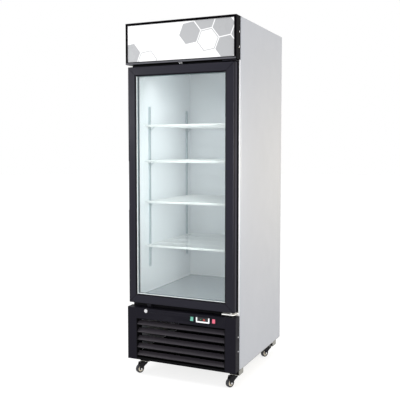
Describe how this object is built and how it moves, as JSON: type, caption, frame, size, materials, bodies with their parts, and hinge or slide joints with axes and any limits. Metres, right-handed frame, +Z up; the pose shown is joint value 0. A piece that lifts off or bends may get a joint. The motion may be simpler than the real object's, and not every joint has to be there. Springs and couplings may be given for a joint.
{
  "type": "reach-in refrigerator",
  "caption": "Upright single glass door merchandiser refrigerator with a lit sign header, wire shelves, louvred base and swivel casters.",
  "frame": {"origin": "on the floor, under the middle of the cabinet's footprint", "axes": "+Z up, +Y from the door towards the back, +X to the right seen from the front"},
  "size_m": [0.686, 0.8, 2.054],
  "materials": {
    "white_steel": "satin",
    "white_liner": "satin",
    "galvanised": "satin",
    "black_panel": "satin",
    "black_plastic": "satin",
    "door_frame": "satin",
    "gasket_rubber": "matte",
    "door_glass": "polished",
    "spacer_aluminium": "satin",
    "sign_acrylic": "satin",
    "lamp_diffuser": "satin",
    "chrome": "polished",
    "shelf_wire": "satin",
    "foam": "matte",
    "coil_metal": "satin",
    "compressor_shell": "satin",
    "green_lens": "gloss",
    "red_lens": "gloss",
    "caster_tyre": "satin"
  },
  "bodies": {
    "cabinet": {"side_panel_left": "white_steel", "side_panel_right": "white_steel", "back_panel": "galvanised", "rear_guard": "galvanised", "top_panel": "white_steel", "chassis": "galvanised", "insulation_foam": "foam", "liner": "white_liner", "front_frame": "black_plastic", "pilaster_front_left": "white_liner", "pilaster_front_right": "white_liner", "pilaster_rear_left": "white_liner", "pilaster_rear_right": "white_liner", "shelf_1": "shelf_wire", "shelf_2": "shelf_wire", "shelf_3": "shelf_wire", "shelf_4": "shelf_wire", "evaporator_housing": "white_liner", "evaporator_coil": "coil_metal", "interior_lamp": "lamp_diffuser", "header_frame": "black_panel", "sign_panel": "sign_acrylic", "sign_lamp": "lamp_diffuser", "sign_catch": "chrome", "base_corner_left": "black_panel", "base_corner_right": "black_panel", "base_fascia": "black_panel", "louvre_grille": "black_plastic", "lock_barrel": "chrome", "power_switch_housing": "black_plastic", "lamp_switch_housing": "black_plastic", "controller": "black_plastic", "compressor": "compressor_shell", "condenser_coil": "compressor_shell", "fan_shroud": "galvanised", "condensate_pan": "black_plastic", "cord_inlet": "gasket_rubber", "hinge_bracket_bottom": "chrome", "hinge_bracket_top": "black_panel"},
    "door": {"door_rail_bottom": "door_frame", "door_rail_top": "door_frame", "door_stile_left": "door_frame", "door_stile_right": "door_frame", "glass_front": "door_glass", "glass_rear": "door_glass", "glass_spacer": "spacer_aluminium", "door_gasket": "gasket_rubber"},
    "lock_plug": {"lock_plug": "chrome"},
    "power_rocker": {"power_rocker": "green_lens"},
    "lamp_rocker": {"lamp_rocker": "red_lens"},
    "evaporator_fan": {"evaporator_fan": "black_plastic"},
    "condenser_fan": {"condenser_fan": "black_plastic"},
    "caster_fork_front_left": {"caster_fork_front_left": "black_plastic"},
    "caster_wheel_front_left": {"caster_wheel_front_left": "caster_tyre"},
    "caster_fork_front_right": {"caster_fork_front_right": "black_plastic"},
    "caster_wheel_front_right": {"caster_wheel_front_right": "caster_tyre"},
    "caster_fork_rear_left": {"caster_fork_rear_left": "black_plastic"},
    "caster_wheel_rear_left": {"caster_wheel_rear_left": "caster_tyre"},
    "caster_fork_rear_right": {"caster_fork_rear_right": "black_plastic"},
    "caster_wheel_rear_right": {"caster_wheel_rear_right": "caster_tyre"}
  },
  "joints": [
    {"name": "door_hinge", "type": "hinge", "parent": "cabinet", "child": "door", "pos_m": [0.31, -0.376, 1.1], "axis": [0, 0, 1], "range_deg": [0, 110], "stiffness_Nm_per_rad": 2, "springref_deg": -20.05},
    {"name": "lock_turn", "type": "hinge", "parent": "cabinet", "child": "lock_plug", "pos_m": [-0.2165, -0.38, 0.395], "axis": [0, -1, 0], "range_deg": [0, 90]},
    {"name": "power_switch", "type": "hinge", "parent": "cabinet", "child": "power_rocker", "pos_m": [0.079, -0.391, 0.38], "axis": [1, 0, 0], "range_deg": [0, 16]},
    {"name": "lamp_switch", "type": "hinge", "parent": "cabinet", "child": "lamp_rocker", "pos_m": [0.213, -0.391, 0.38], "axis": [1, 0, 0], "range_deg": [0, 16]},
    {"name": "evaporator_fan_spin", "type": "hinge", "parent": "cabinet", "child": "evaporator_fan", "pos_m": [0, -0.04, 1.864], "axis": [0, 0, 1], "continuous": true},
    {"name": "condenser_fan_spin", "type": "hinge", "parent": "cabinet", "child": "condenser_fan", "pos_m": [0.111, -0.232, 0.252], "axis": [0, 1, 0], "continuous": true},
    {"name": "swivel_front_left", "type": "hinge", "parent": "cabinet", "child": "caster_fork_front_left", "pos_m": [-0.278, -0.308, 0.07], "axis": [0, 0, 1], "continuous": true},
    {"name": "swivel_front_right", "type": "hinge", "parent": "cabinet", "child": "caster_fork_front_right", "pos_m": [0.303, -0.308, 0.07], "axis": [0, 0, 1], "continuous": true},
    {"name": "swivel_rear_left", "type": "hinge", "parent": "cabinet", "child": "caster_fork_rear_left", "pos_m": [-0.278, 0.284, 0.07], "axis": [0, 0, 1], "continuous": true},
    {"name": "swivel_rear_right", "type": "hinge", "parent": "cabinet", "child": "caster_fork_rear_right", "pos_m": [0.303, 0.284, 0.07], "axis": [0, 0, 1], "continuous": true},
    {"name": "roll_front_left", "type": "hinge", "parent": "caster_fork_front_left", "child": "caster_wheel_front_left", "pos_m": [-0.293, -0.338, 0.025], "axis": [0.8944, -0.4472, 0], "continuous": true},
    {"name": "roll_front_right", "type": "hinge", "parent": "caster_fork_front_right", "child": "caster_wheel_front_right", "pos_m": [0.288, -0.338, 0.025], "axis": [0.8944, -0.4472, 0], "continuous": true},
    {"name": "roll_rear_left", "type": "hinge", "parent": "caster_fork_rear_left", "child": "caster_wheel_rear_left", "pos_m": [-0.293, 0.254, 0.025], "axis": [0.8944, -0.4472, 0], "continuous": true},
    {"name": "roll_rear_right", "type": "hinge", "parent": "caster_fork_rear_right", "child": "caster_wheel_rear_right", "pos_m": [0.288, 0.254, 0.025], "axis": [0.8944, -0.4472, 0], "continuous": true}
  ]
}
